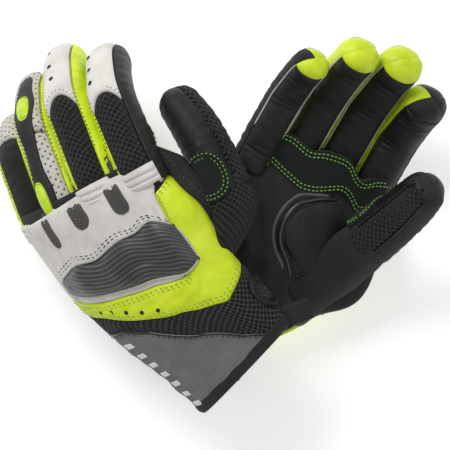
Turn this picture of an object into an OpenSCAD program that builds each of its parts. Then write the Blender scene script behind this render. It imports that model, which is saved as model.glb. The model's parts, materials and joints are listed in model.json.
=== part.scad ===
// A pair of short-cuff riding gloves. The left glove lies palm down with its cuff on the right one,
// and the right glove lies palm up. Both are built in one hand frame: x to the thumb side, y to the
// fingertips, z out of the back of the hand, with the middle of the wrist at the origin.

/* [Hand] */
// Half width of the hand at the knuckles
knuckle_half_w = 47; // [46:0.5:50]
// Half width of the glove at the wrist
wrist_half_w = 37; // [35:0.5:40]
// Half thickness of the hand at its middle
hand_half_t = 18; // [17:0.5:20]
// How far the little-finger side drops below the middle of the hand
arch_drop = 11; // [8:0.5:13]
// Thickness of the leather with its lining
leather = 1.8; // [1.4:0.1:2]

/* [Fingers] */
// Half width of the middle finger
finger_r = 13; // [12:0.1:13.1]
// Length of the middle finger from its knuckle to its middle joint
middle_prox = 47; // [44:1:50]
// Bend of the end joints, sewn into the shape
dip_bend = 16; // [8:1:20]
// Half the gap that a knuckle joint leaves between two shells, on the palm side
joint_gap = 8; // [7.5:0.1:9]

/* [Thumb] */
// Half width of the thumb
thumb_r = 13.2; // [12:0.1:14]
// Length of the thumb from its knuckle to its middle joint
thumb_prox = 34; // [30:1:36]

/* [Cuff] */
// Length from the wrist to the edge of the cuff
cuff_len = 51; // [48:1:56]
// Half width of the cuff at its edge
cuff_half_w = 36; // [34:0.5:42]

/* [Hidden] */
FINGERS = ["index", "middle", "ring", "pinky"];
GLOVES = ["left", "right"];
PIECES = ["back_panel", "side_panel", "knuckle_guard", "guard_foam", "palm_panel", "palm_patch",
    "wrist_mesh", "cuff", "cuff_binding", "cuff_lining", "knuckle_stretch", "finger_gussets",
    "loop_pad", "wrist_strap", "hook_pad", "thumb_gusset", "thumb_base", "thumb_tip",
    "thumb_patch", "ring_slider", "slider_insert_lower", "slider_insert_upper"];

// Colours of the materials
white_leather = [0.80, 0.79, 0.76];
neon_leather = [0.72, 0.88, 0.05];
black_leather = [0.10, 0.10, 0.10];
grey_textile = [0.36, 0.36, 0.37];
black_mesh = [0.06, 0.06, 0.06];
guard_shell = [0.24, 0.26, 0.26];
foam = [0.20, 0.20, 0.20];

// One entry per finger: index, middle, ring, pinky
knuckle_x = [37.2, 10.8, -14.2, -36.8];
knuckle_y = [82, 86, 84, 82];
knuckle_z = [6, 3, -3, -14];
finger_half = [finger_r, finger_r - 0.2, finger_r - 1.1, finger_r - 2.7];
prox_len = middle_prox * [0.88, 1, 0.93, 0.75];
mid_len = middle_prox * [0.51, 0.57, 0.55, 0.42];
tip_len = middle_prox * [0.40, 0.45, 0.43, 0.36];
finger_lean = [1.5, 0, 0, 0];

// One entry per glove, left and right: how the hand lies and bends at rest
mcp_bend = [24, 17];
pip_bend = [32, 25];
wrist_bend = [19.5, -15.1];
wrist_sag = [0, 12];
thumb_knuckle = [[66, 40, -14], [42, 58, -22]];
thumb_out = [4, 12];
thumb_drop = [7, 38];
thumb_roll = [-50, -30];
tab_turn = [-26, 74];
cuff_half_t = [15, 9];
wrist_half_t = [17, 13];
flip = [0, 1];
yaw = [29, -25.9];
pitch = [6.6, 3.1];
roll = [-17, 12.7];
place = [[-35.45, -51.5, 66], [14.25, -42, 28.9]];

around = 14;
cuff_end = -cuff_len;
stretch_len = 12;
strap_hinge = 243;
strap_end = 306;
slit = [232, 238];

function bulge(v, power) = sign(v) * pow(abs(v), power);
function smooth(t) = let (c = min(1, max(0, t))) c * c * (3 - 2 * c);
function knuckle_line(x) = lookup(x, [[-50, 79], [-38.1, 82], [-14.7, 84], [10.7, 86], [37.5, 84], [50, 80]]);
function thumb_side(g, y) = lookup(y, [[cuff_end, cuff_half_w + 5 - g * 10], [-20, wrist_half_w + 6 - g * 9],
    [0, wrist_half_w + 8 - g * 6], [12, wrist_half_w + 11 - g * 3], [34, 52], [50, 51], [64, 48], [95, 48]]);
function pinky_side(y) = lookup(y, [[cuff_end, cuff_half_w - 3], [-20, wrist_half_w - 4], [0, wrist_half_w - 2],
    [40, knuckle_half_w - 4], [95, knuckle_half_w]]);
function half_t(g, y) = lookup(y, [[cuff_end, cuff_half_t[g]], [-20, (wrist_half_t[g] + cuff_half_t[g]) / 2],
    [0, wrist_half_t[g]], [35, hand_half_t], [60, hand_half_t - 1.5], [95, 13.5]]);

// The hand's spine curves at the wrist: points below the knuckles turn about a far centre beside the hand
function bent(g, p) =
    let (radius = 80 / (wrist_bend[g] * PI / 180), turn = min(1, max(0, 78 - p[1]) / 80) * wrist_bend[g],
        past = max(0, -2 - p[1]), z = p[2] + wrist_sag[g] * smooth((20 - p[1]) / 60))
    p[1] > 78 ? [p[0], p[1], z] : [radius - (radius - p[0]) * cos(turn) + past * sin(turn),
        78 - (radius - p[0]) * sin(turn) - past * cos(turn), z];

// A point of the hand's outer surface at angle a round it, moved outwards by off
function hand_point(g, y, a, off) =
    let (mid = (thumb_side(g, y) - pinky_side(y)) / 2,
        w = (thumb_side(g, y) + pinky_side(y)) / 2,
        x = bulge(cos(a), 0.82) * (w + off),
        side = x / w,
        tilt = smooth((y + 5) / 70) * (side < 0 ? -arch_drop * side * side : arch_drop * 0.55 * side))
    bent(g, [mid + x, y, bulge(sin(a), 0.82) * (half_t(g, y) + off) + tilt]);

// Edges of the panels: the place along the hand at an angle round it
side_top = function(a) lookup(a, [[4, 68], [46, 62], [54, 40], [67, 11], [88, 23], [103, 29], [136, 38], [170, 42]]);
side_low = function(a) lookup(a, [[4, -12], [55, -18], [79, -9.5], [103, 5.5], [136, 22], [170, 30]]);
back_low = function(a) lookup(a, [[46, 62.5], [54, 40.5], [67, 11.5], [88, 23.5], [103, 29.5], [136, 38.5], [170, 42.5]]);
back_top = function(a) knuckle_line(lookup(a, [[40, 38], [90, 2], [140, -38], [170, -48]])) - stretch_len - 0.3;
guard_low = function(a) lookup(a, [[48, 11], [67, 10], [88, 22], [103, 28], [136, 38], [146, 41]]);
guard_top = function(a) lookup(a, [[48, 38], [55, 46], [63, 52], [76, 48], [86, 52], [100, 48], [115, 53], [146, 49]]);
mesh_low = function(a) lookup(a, [[-22, -44], [24, -44], [88, -15.5], [133, 12], [180, 16], [230, -12], [338, -44]]);
palm_low = function(a) lookup(a, [[170, 31], [200, 10], [240, 0], [290, 0]]);

// A closed skin between two grids of points, outer and inner. wrap joins the last column to the first,
// and cap closes the last row over with a pole each.
module skin(outer, inner, wrap = false, cap = []) {
    rows = len(outer);
    cols = len(outer[0]);
    n = rows * cols;
    last = rows - 1;
    pole = 2 * n;
    steps = wrap ? cols - 1 : cols - 2;
    function o(i, j) = i * cols + j % cols;
    function q(i, j) = n + o(i, j);
    walls = [for (i = [0:last - 1], j = [0:steps]) each [
        [o(i, j), o(i + 1, j + 1), o(i + 1, j)], [o(i, j), o(i, j + 1), o(i + 1, j + 1)],
        [q(i, j), q(i + 1, j), q(i + 1, j + 1)], [q(i, j), q(i + 1, j + 1), q(i, j + 1)]]];
    start = [for (j = [0:steps]) each [[o(0, j + 1), o(0, j), q(0, j)], [o(0, j + 1), q(0, j), q(0, j + 1)]]];
    end_rim = [for (j = [0:steps]) each
        [[o(last, j), o(last, j + 1), q(last, j + 1)], [o(last, j), q(last, j + 1), q(last, j)]]];
    end_cap = [for (j = [0:steps]) each
        [[o(last, j), o(last, j + 1), pole], [q(last, j + 1), q(last, j), pole + 1]]];
    c = cols - 1;
    sides = [for (i = [0:last - 1]) each [
        [o(i, 0), o(i + 1, 0), q(i + 1, 0)], [o(i, 0), q(i + 1, 0), q(i, 0)],
        [o(i + 1, c), o(i, c), q(i, c)], [o(i + 1, c), q(i, c), q(i + 1, c)]]];
    polyhedron(
        points = concat([for (r = outer) each r], [for (r = inner) each r], cap),
        faces = concat(walls, start, len(cap) > 0 ? end_cap : end_rim, wrap ? [] : sides));
}

// A panel of the hand's surface between angles a0 and a1, from y0(a) to y1(a), with its inner and outer
// offsets given as functions of the place along and across it, each from 0 to 1
module hand_patch(g, a0, a1, y0, y1, low, high, rows = 5, cols = 10) {
    function grid(off) = [for (i = [0:rows - 1]) [for (j = [0:cols - 1])
        let (u = i / (rows - 1), v = j / (cols - 1), a = a0 + (a1 - a0) * v)
        hand_point(g, y0(a) + (y1(a) - y0(a)) * u, a, off(u, v))]];
    skin(grid(high), grid(low));
}

// A ring of points round a tube: middle at [y, z], turned down by tilt, slanted by shear
function ring(y, z, tilt, a, b, shear, n = around) = [for (j = [0:n - 1])
    let (t = 360 * j / n, up = b * sin(t), along = shear * sin(t))
    [a * cos(t), y + up * sin(tilt) + along * cos(tilt), z + up * cos(tilt) - along * sin(tilt)]];

// An open tube along y with slanted ends: half widths r0 and r1
module open_tube(y0, y1, r0, r1, shear0, shear1) {
    stations = [[y0, r0, shear0], [(y0 + y1) / 2, (r0 + r1) / 2 + 0.2, 0], [y1, r1, shear1]];
    skin([for (s = stations) ring(s[0], 0, 0, s[1], s[1] * 0.95, s[2])],
        [for (s = stations) ring(s[0], 0, 0, s[1] - leather, s[1] * 0.95 - leather, s[2])], wrap = true);
}

// A bent fingertip: a tube from y0 to the end joint at len1, then len2 more, closed by a dome
module tip_tube(y0, shear0, len1, len2, r, bend) {
    half = bend / 2;
    function station(s) = s < len1 ? [s, 0, 0]
        : [len1 + (s - len1) * cos(bend), -(s - len1) * sin(bend), bend];
    function rings(t) = [
        ring(y0, 0, 0, r - t, r * 0.95 - t, shear0),
        ring(len1 - 3, 0, half / 3, r * 0.94 - t, r * 0.89 - t, 0),
        for (k = [0:4])
            let (up = k * 17, s = station(len1 + len2 * 0.45 + (len2 * 0.55 + r * 0.75 - t) * sin(up)),
                w = (r * 0.9 - t) * pow(cos(up), 0.6))
            ring(s[0], s[1], s[2], w, w * 0.9, 0)];
    function pole(t) = let (s = station(len1 + len2 + r * 0.78 - t)) [0, s[0], s[1]];
    skin(rings(0), rings(leather), wrap = true, cap = [pole(0), pole(leather)]);
}

// A strip on a tube's surface between angles a0 and a1, from y0 to y1
module tube_strip(y0, y1, r, a0, a1, low, high, rows = 5, cols = 6) {
    function grid(off) = [for (i = [0:rows - 1]) [for (j = [0:cols - 1])
        let (u = i / (rows - 1), v = j / (cols - 1), a = a0 + (a1 - a0) * v, d = off(u, v))
        [(r + d) * cos(a), y0 + (y1 - y0) * u, (r * 0.95 + d) * sin(a)]]];
    skin(grid(high), grid(low));
}

module glove_frame(g) {
    translate(place[g]) rotate([0, 0, yaw[g]]) rotate([pitch[g], 0, 0]) rotate([0, roll[g], 0])
        mirror([0, 0, flip[g]]) children();
}
module at_knuckle(g, f) {
    glove_frame(g) translate([knuckle_x[f], knuckle_y[f], knuckle_z[f]])
        rotate([0, 0, finger_lean[f]]) rotate([-mcp_bend[g], 0, 0]) children();
}
module at_middle_joint(g, f) {
    at_knuckle(g, f) translate([0, prox_len[f], 0]) rotate([-pip_bend[g], 0, 0]) children();
}
// The thumb's own frame turns out by thumb_out, down by thumb_drop and about its length by thumb_roll
function turned(g, p) =
    let (a = thumb_roll[g], b = thumb_drop[g], c = thumb_out[g],
        q = [p[0] * cos(a) - p[2] * sin(a), p[1], p[0] * sin(a) + p[2] * cos(a)],
        r = [q[0], q[1] * cos(b) + q[2] * sin(b), q[2] * cos(b) - q[1] * sin(b)])
    [r[0] * cos(c) + r[1] * sin(c), r[1] * cos(c) - r[0] * sin(c), r[2]];
module at_thumb(g) {
    glove_frame(g) translate(thumb_knuckle[g]) rotate([0, 0, -thumb_out[g]]) rotate([-thumb_drop[g], 0, 0])
        rotate([0, -thumb_roll[g], 0]) children();
}
module at_thumb_joint(g) {
    at_thumb(g) translate([0, thumb_prox, 0]) rotate([-14, 0, 0]) children();
}

// The hand
module back_panel(g) color(white_leather) glove_frame(g) hand_patch(g, 46, 170, back_low, back_top,
    function(u, v) -leather, function(u, v) 0, rows = 6, cols = 15);
module side_panel(g) color(neon_leather) glove_frame(g) hand_patch(g, 4, 170,
    function(a) side_low(a) + 0.4, side_top, function(u, v) -leather, function(u, v) 0, rows = 6, cols = 16);
module knuckle_guard(g) color(guard_shell) glove_frame(g) hand_patch(g, 48, 146, guard_low, guard_top,
    function(u, v) 2.9, function(u, v) 3.6 + 5 * pow(sin(180 * u), 0.6) * pow(sin(180 * v), 0.5),
    rows = 8, cols = 16);
module guard_foam(g) color(foam) glove_frame(g) hand_patch(g, 52, 142,
    function(a) guard_low(a) + 2.5, function(a) guard_top(a) - 2.5,
    function(u, v) 0.3, function(u, v) 2.5, rows = 4, cols = 12);
module palm_panel(g) color(black_leather) glove_frame(g) {
    hand_patch(g, 170.6, 290, function(a) palm_low(a) + 0.4,
        function(a) knuckle_line(hand_point(g, 80, a, 0)[0]) - joint_gap,
        function(u, v) -leather, function(u, v) 0, rows = 6, cols = 12);
    hand_patch(g, 290.5, 363.5, function(a) 62, function(a) 76,
        function(u, v) -leather, function(u, v) 0, rows = 3, cols = 7);
}
module palm_patch(g) color(black_leather) glove_frame(g) hand_patch(g, 214, 288,
    function(a) lookup(a, [[214, 60], [250, 46], [288, 60]]), function(a) 72,
    function(u, v) 0.3, function(u, v) 1.5, rows = 4, cols = 9);
module wrist_mesh(g) color(black_mesh) glove_frame(g) {
    hand_patch(g, 4, 170, function(a) mesh_low(a) + 0.4, side_low,
        function(u, v) -leather, function(u, v) 0, rows = 3, cols = 14);
    hand_patch(g, 170, slit[0], function(a) mesh_low(a) + 0.4, palm_low,
        function(u, v) -leather, function(u, v) 0, rows = 3, cols = 7);
    hand_patch(g, slit[1], 363.9, function(a) mesh_low(a) + 0.4, function(a) a < 290 ? 0 : (a - 290) * 0.12 + 2,
        function(u, v) -leather, function(u, v) 0, rows = 3, cols = 11);
}
module cuff(g) color(grey_textile) glove_frame(g)
    hand_patch(g, slit[1] - 360, slit[0], function(a) cuff_end + 3.3, function(a) mesh_low(a < -22 ? a + 360 : a),
        function(u, v) -leather, function(u, v) 0, rows = 5, cols = 27);
module cuff_binding(g) {
    color(black_leather) glove_frame(g)
        hand_patch(g, slit[1] - 360, slit[0], function(a) cuff_end, function(a) cuff_end + 3,
            function(u, v) -leather - 0.5, function(u, v) 0.5, rows = 2, cols = 21);
    pull_tab(g);
}
module cuff_lining(g) color(black_mesh) glove_frame(g)
    hand_patch(g, slit[1] - 358, slit[0] - 2, function(a) cuff_end + 4, function(a) -6,
        function(u, v) -leather - 1.1, function(u, v) -leather - 0.3, rows = 3, cols = 20);

// The wrist strap is sewn on at the little-finger side, crosses the slit under the wrist, and its hook pad
// grips the loop pad. The pull tab is a loop of the binding tape at the thumb side of the cuff's edge.
module wrist_strap(g) color(black_leather) glove_frame(g) hand_patch(g, strap_hinge, strap_end,
    function(a) cuff_end + 9 + 4 * pow(max(0, (a - 250) / 56), 3),
    function(a) -17 - 4 * pow(max(0, (a - 250) / 56), 3),
    function(u, v) 2.2, function(u, v) 4.2, rows = 4, cols = 12);
module loop_pad(g) color(black_mesh) glove_frame(g) hand_patch(g, 258, 300,
    function(a) cuff_end + 11, function(a) -21,
    function(u, v) 0.2, function(u, v) 0.9, rows = 3, cols = 6);
module hook_pad(g) color(black_mesh) glove_frame(g) hand_patch(g, 262, 296,
    function(a) cuff_end + 13, function(a) -23,
    function(u, v) 1.2, function(u, v) 1.9, rows = 3, cols = 6);
module pull_tab(g) color(black_leather) glove_frame(g) translate(hand_point(g, cuff_end + 10, 6, 0.4))
    rotate([90, 0, wrist_bend[g] + tab_turn[g]]) difference() {
        hull() for (x = [1, 13]) translate([x, 0, -5.5]) cylinder(r = 3, h = 11, $fn = 24);
        hull() for (x = [0, 12.6]) translate([x, 0, -6]) cylinder(r = 1.6, h = 12, $fn = 24);
        translate([-6, -5, -6]) cube([5.6, 10, 12]);
    }

// Stretch panels over the knuckles, each of three padded ribs, and the webs between the fingers
module knuckle_stretch(g) for (f = [0:3]) color(white_leather) glove_frame(g)
    translate([knuckle_x[f], knuckle_y[f], knuckle_z[f]])
        tube_strip(-stretch_len, 4.5, finger_half[f] + 0.5, 42, 138,
            function(u, v) -leather, function(u, v) 0.9 + 0.9 * abs(sin(u * 540)), rows = 10, cols = 6);
module finger_gussets(g) for (f = [0:2]) color(grey_textile) glove_frame(g)
    translate([(knuckle_x[f] - finger_half[f] + knuckle_x[f + 1] + finger_half[f + 1]) / 2,
        knuckle_line((knuckle_x[f] + knuckle_x[f + 1]) / 2) - 6, (knuckle_z[f] + knuckle_z[f + 1]) / 2 + 3])
        skin([for (y = [0, 7]) ring(y, 0, 0, 1.6, 7, 0, 8)],
            [for (y = [0, 7]) ring(y, 0, 0, 0.6, 5, 0, 8)], wrap = true);

// The thumb
module thumb_gusset(g) {
    k = thumb_knuckle[g];
    out = [[0.63, -0.77], [1, 0]][g];
    function root(t, r) = [38 + (12 - r) * cos(t) * out[0], 12 + (12 - r) * cos(t) * out[1], -6 + (12 - r) * sin(t)];
    function tip(t, r) = let (w = thumb_r + 0.6 - r)
        k + turned(g, [w * cos(t - thumb_roll[g]), -joint_gap, w * sin(t - thumb_roll[g]) * 0.95]);
    function rings(r) = [for (i = [0:4]) let (u = i / 4) [for (j = [0:around - 1]) let (t = 360 * j / around)
        root(t, r) * (1 - u) + tip(t, r) * u + [4 * sin(180 * u), -3 * sin(180 * u), 0]]];
    color(black_mesh) glove_frame(g) skin(rings(0), rings(leather), wrap = true);
}
module thumb_base(g) color(black_leather) at_thumb(g)
    open_tube(joint_gap, thumb_prox - 5, thumb_r + 0.6, thumb_r, 0, 4);
module thumb_tip(g) color(black_leather) at_thumb_joint(g)
    tip_tube(5, -4, 14, 11, thumb_r, 8);
module thumb_patch(g) color(black_leather) at_thumb(g)
    tube_strip(joint_gap + 3, thumb_prox - 9, thumb_r + 0.6, 215, 325, function(u, v) 0.4, function(u, v) 1.5);

// The fingers
module finger_proximal(g, f) color(f == 3 ? black_leather : neon_leather) at_knuckle(g, f)
    open_tube(joint_gap, prox_len[f] - 5, finger_half[f], finger_half[f] * 0.96, 0, 3.4);
module finger_distal(g, f) color(f == 0 ? black_leather : neon_leather) at_middle_joint(g, f)
    tip_tube(5, -3.4, mid_len[f], tip_len[f] - finger_half[f] * 0.7, finger_half[f] * 0.95, dip_bend);
module ring_slider(g) color(black_leather) at_knuckle(g, 2)
    tube_strip(joint_gap + 1, prox_len[2] - 8, finger_half[2], 70, 150,
        function(u, v) 0.5, function(u, v) 1.9, rows = 4);
module slider_insert(r, y0, y1, low) color(neon_leather)
    tube_strip(y0, y1, r, 90, 130, function(u, v) low,
        function(u, v) low + 0.5 + 2.2 * sin(180 * u) * sin(180 * v), rows = 6, cols = 6);

module piece(g, name) {
    if (name == "back_panel") back_panel(g);
    if (name == "side_panel") side_panel(g);
    if (name == "knuckle_guard") knuckle_guard(g);
    if (name == "guard_foam") guard_foam(g);
    if (name == "palm_panel") palm_panel(g);
    if (name == "palm_patch") palm_patch(g);
    if (name == "wrist_mesh") wrist_mesh(g);
    if (name == "cuff") cuff(g);
    if (name == "cuff_binding") cuff_binding(g);
    if (name == "cuff_lining") cuff_lining(g);
    if (name == "knuckle_stretch") knuckle_stretch(g);
    if (name == "finger_gussets") finger_gussets(g);
    if (name == "loop_pad") loop_pad(g);
    if (name == "wrist_strap") wrist_strap(g);
    if (name == "hook_pad") hook_pad(g);
    if (name == "thumb_gusset") thumb_gusset(g);
    if (name == "thumb_base") thumb_base(g);
    if (name == "thumb_tip") thumb_tip(g);
    if (name == "thumb_patch") thumb_patch(g);
    if (name == "ring_slider") ring_slider(g);
    if (name == "slider_insert_lower") at_knuckle(g, 2)
        slider_insert(finger_half[2], joint_gap + 3, joint_gap + 19, 2.2);
    if (name == "slider_insert_upper") at_middle_joint(g, 2)
        slider_insert(finger_half[2] * 0.95, 8, 22, 0.4);
    for (f = [0:3]) {
        if (name == str(FINGERS[f], "_proximal")) finger_proximal(g, f);
        if (name == str(FINGERS[f], "_distal")) finger_distal(g, f);
    }
}

for (g = [0, 1], p = concat(PIECES, [for (f = FINGERS) each [str(f, "_proximal"), str(f, "_distal")]]))
    piece(g, p);
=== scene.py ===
import json
import math

import bpy
import numpy as np
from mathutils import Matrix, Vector

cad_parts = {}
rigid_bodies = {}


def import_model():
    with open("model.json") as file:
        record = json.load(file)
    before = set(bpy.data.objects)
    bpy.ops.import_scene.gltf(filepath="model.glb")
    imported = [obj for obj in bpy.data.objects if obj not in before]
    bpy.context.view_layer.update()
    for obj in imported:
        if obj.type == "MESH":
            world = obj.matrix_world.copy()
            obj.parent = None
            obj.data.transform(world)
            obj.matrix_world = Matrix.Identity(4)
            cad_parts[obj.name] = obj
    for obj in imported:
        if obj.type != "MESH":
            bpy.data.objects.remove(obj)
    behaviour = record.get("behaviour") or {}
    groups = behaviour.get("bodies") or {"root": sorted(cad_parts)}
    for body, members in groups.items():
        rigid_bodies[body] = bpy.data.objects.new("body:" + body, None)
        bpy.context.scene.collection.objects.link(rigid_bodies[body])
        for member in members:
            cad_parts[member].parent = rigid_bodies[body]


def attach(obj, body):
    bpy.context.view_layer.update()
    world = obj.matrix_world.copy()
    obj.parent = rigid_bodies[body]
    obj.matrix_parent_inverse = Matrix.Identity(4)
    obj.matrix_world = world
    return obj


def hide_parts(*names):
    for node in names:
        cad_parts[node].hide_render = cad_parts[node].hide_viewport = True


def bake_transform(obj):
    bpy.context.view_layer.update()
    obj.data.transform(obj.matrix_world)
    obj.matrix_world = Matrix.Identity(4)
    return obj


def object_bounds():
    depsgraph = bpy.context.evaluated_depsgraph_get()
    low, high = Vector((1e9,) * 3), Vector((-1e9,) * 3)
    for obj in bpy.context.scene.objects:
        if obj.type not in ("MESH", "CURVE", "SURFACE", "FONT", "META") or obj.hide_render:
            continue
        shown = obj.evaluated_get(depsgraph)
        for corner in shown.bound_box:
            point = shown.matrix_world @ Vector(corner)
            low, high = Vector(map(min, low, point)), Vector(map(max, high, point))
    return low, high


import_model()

cad_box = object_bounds()

# ---------------------------------------------------------------- the gloves' own sizes, in mm
FINGERS = ["index", "middle", "ring", "pinky"]
GLOVES = ["left", "right"]
KNUCKLE = np.array([[37.2, 82, 6], [10.8, 86, 3], [-14.2, 84, -3], [-36.8, 82, -14]], float)
HALF = [13.0, 12.8, 11.9, 10.3]
PROX = [41.36, 47.0, 43.71, 35.25]
MID = [23.97, 26.79, 25.85, 19.74]
TIP = [18.8, 21.15, 20.21, 16.92]
LEAN = [1.5, 0, 0, 0]
MCP, PIP, DIP = [24, 17], [32, 25], 16
WRIST_BEND, WRIST_SAG = [19.5, -15.1], [0, 12]
THUMB_KNUCKLE = np.array([[66, 40, -14], [42, 58, -22]], float)
THUMB_OUT, THUMB_DROP, THUMB_ROLL = [4, 12], [7, 38], [-50, -30]
THUMB_PROX, THUMB_LONG = 34.0, 35.3
YAW, PITCH, ROLL = [29, -25.9], [6.6, 3.1], [-17, 12.7]
PLACE = np.array([[-35.45, -51.5, 66], [14.25, -42, 28.9]], float)
CUFF_END = -51.0
CUFF_T, WRIST_T = [15, 9], [17, 13]
SIDE_TOP = [[-12, 68], [4, 68], [40, 63], [50, 42], [60, 16], [68, 9], [80, 13], [92, 19.5], [106, 24.5], [136, 32],
    [170, 40]]
SIDE_LOW = [[-30, -4], [-12, -9], [4, -12], [55, -18], [79, -9.5], [103, 5.5], [136, 22], [170, 30]]
GUARD_LOW = [[48, 11], [67, 10], [88, 22], [103, 28], [136, 38], [146, 41]]
GUARD_TOP = [[48, 38], [55, 46], [63, 52], [76, 48], [86, 52], [100, 48], [115, 53], [146, 49]]
MESH_LOW = [[-128, -12], [-60, -40], [-22, -48], [40, -48.5], [50, -46], [68, -37], [90, -19.5], [114, 1.5], [133,
    11], [180, 16], [230, -12], [300, -40], [338, -48]]
PALM_LOW = [[170, 31], [200, 10], [240, 0], [290, 0], [330, 6], [363, 20]]
KNUCKLE_LINE = [[-50, 79], [-38.1, 82], [-14.7, 84], [10.7, 86], [37.5, 84], [50, 80]]
D = math.pi / 180
BEND = 8  # half the length of leather that folds at a joint
CUT = 12  # where pieces that cross two joints are cut in two
LENS, SENSOR, VIEW_WIDTH, VIEW_Z = 150, 36, 0.2475, 0.075


def smooth(t):
    t = np.clip(t, 0, 1)
    return t * t * (3 - 2 * t)


def hill(x, mid, wide):
    """A bell curve of height 1 about mid."""
    return np.exp(-((x - mid) / wide) ** 2)


def lk(v, table):
    table = np.array(table, float)
    return np.interp(v, table[:, 0], table[:, 1])


def soft(a, table, w=3.0):
    """The table's value at a, with its corners rounded."""
    a = np.asarray(a, float)
    return sum(lk(a + k * w, table) for k in (-1, -0.5, 0, 0.5, 1)) / 5


def squared(v, power):
    """A sine or cosine whose circle is made squarer, sign kept."""
    return np.sign(v) * np.abs(v) ** power


def turned(a, i, j):
    """A turn by a degrees that carries axis i towards axis j."""
    m = np.eye(3)
    m[i, i] = m[j, j] = math.cos(a * D)
    m[j, i], m[i, j] = math.sin(a * D), -math.sin(a * D)
    return m


def rx(a):
    return turned(a, 1, 2)


def ry(a):
    return turned(a, 2, 0)


def rz(a):
    return turned(a, 0, 1)


TURN = [rz(YAW[g]) @ rx(PITCH[g]) @ ry(ROLL[g]) @ (np.diag([1, 1, -1.0]) if g else np.eye(3)) for g in (0, 1)]


def world(g, p):
    return (np.asarray(p, float) @ TURN[g].T + PLACE[g]) / 1000


# ---------------------------------------------------------------- the surfaces of a glove
def thumb_side(g, y):
    return lk(y, [[-51, 41 - 10 * g], [-20, 43 - 9 * g], [0, 45 - 6 * g], [12, 48 - 3 * g], [34, 52], [50, 51], [64,
        48], [95, 48]])


def pinky_side(y):
    return lk(y, [[-51, 33], [-20, 33], [0, 35], [40, 43], [95, 47]])


def half_t(g, y):
    return lk(y, [[-51, CUFF_T[g]], [-20, (WRIST_T[g] + CUFF_T[g]) / 2], [0, WRIST_T[g]], [35, 18], [60, 16.5], [95,
        13.5]])


def soft_lk(fn, y):
    return (fn(y - 6) + fn(y - 3) + 2 * fn(y) + fn(y + 3) + fn(y + 6)) / 6


def bent(g, x, y, z):
    r = 80 / (WRIST_BEND[g] * D)
    turn = np.clip(78 - y, 0, 80) / 80 * WRIST_BEND[g] * D
    past = np.maximum(0, -2 - y)
    z = z + WRIST_SAG[g] * smooth((20 - y) / 60)
    bx = r - (r - x) * np.cos(turn) + past * np.sin(turn)
    by = 78 - (r - x) * np.sin(turn) - past * np.cos(turn)
    high = y > 78
    return np.stack([np.where(high, x, bx), np.where(high, y, by), z], -1)


def hand(g):
    def at(a, y, off):
        a, y, off = np.broadcast_arrays(np.asarray(a, float), np.asarray(y, float), np.asarray(off, float))
        ts, ps = soft_lk(lambda v: thumb_side(g, v), y), soft_lk(pinky_side, y)
        mid, w = (ts - ps) / 2, (ts + ps) / 2
        c, s = np.cos(a * D), np.sin(a * D)
        x = squared(c, 0.82) * (w + off)
        side = x / w
        tilt = smooth((y + 5) / 70) * np.where(side < 0, -11 * side ** 2, 11 * 0.55 * side)
        z = squared(s, 0.82) * (soft_lk(lambda v: half_t(g, v), y) + off) + tilt
        return bent(g, mid + x, y, z)
    at.g = g
    return at


def path_tube(g, start, lean, bends, total, radius, square=0.86, flat=0.95, lead=26.0, roll=0.0, source=None):
    """A finger: a tube about a curved middle line, closed by a dome. Parameters: angle round it, and way along it."""
    step = 0.5
    s = np.arange(-lead, total + 1, step)
    down = sum(b * smooth((s - at + w) / (2 * w)) for at, b, w in bends) * D
    way = np.stack([0 * s, np.cos(down), -np.sin(down)], -1) @ lean.T
    up = np.stack([0 * s, np.sin(down), np.cos(down)], -1) @ lean.T
    out = np.tile(lean @ np.array([1.0, 0, 0]), (len(s), 1))
    zero = int(round(lead / step))
    line = np.cumsum(way * step, 0)
    line = line - line[zero] + start
    if source is not None:
        t = np.clip(-s / lead, 0, 1)[:, None]
        lead_in = (1 - t) ** 2 * start + 2 * t * (1
            - t) * (start - way[zero] * lead * 0.55) + t ** 2 * np.array(source)
        line = np.where(s[:, None] < 0, lead_in, line)

    def at(a, q, off):
        a, q, off = np.broadcast_arrays(np.asarray(a, float), np.asarray(q, float), np.asarray(off, float))
        r_end = radius(total)
        q0 = total - r_end
        fi = np.clip((q - q0) / r_end, 0, math.pi / 2)
        axial = np.where(q > q0, q0 + (r_end + off) * np.sin(fi), q)
        r = radius(np.minimum(q, q0)) + off
        r = r * np.where(q > q0, np.cos(fi) ** 0.72, 1)
        c, t = np.cos((a - roll) * D), np.sin((a - roll) * D)
        x = squared(c, square) * r
        z = squared(t, square) * r * flat
        def pick(v):
            return np.stack([np.interp(axial, s, v[:, k]) for k in range(3)], -1)
        over = np.maximum(axial - s[-1], 0)[..., None]
        return pick(line) + pick(way) * over + pick(out) * x[..., None] + pick(up) * z[..., None]
    at.g, at.line, at.s = g, line, s
    return at


def finger(g, f):
    total = PROX[f] + MID[f] + TIP[f]
    h = HALF[f]

    def radius(q):
        return np.interp(q, [-26, -12, 0, PROX[f] - 12, PROX[f], PROX[f] + 12, total - h, total], [h * 0.88,
            h * 0.93, h * 0.98, h * 0.965, h * 0.985, h * 0.94, h * 0.92, h * 0.9])
    at = path_tube(g, KNUCKLE[f], rz(LEAN[f]), [(0, MCP[g], 8), (PROX[f], PIP[g], 8), (PROX[f] + MID[f], DIP, 7)],
        total, radius)
    at.total = total
    return at


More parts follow.
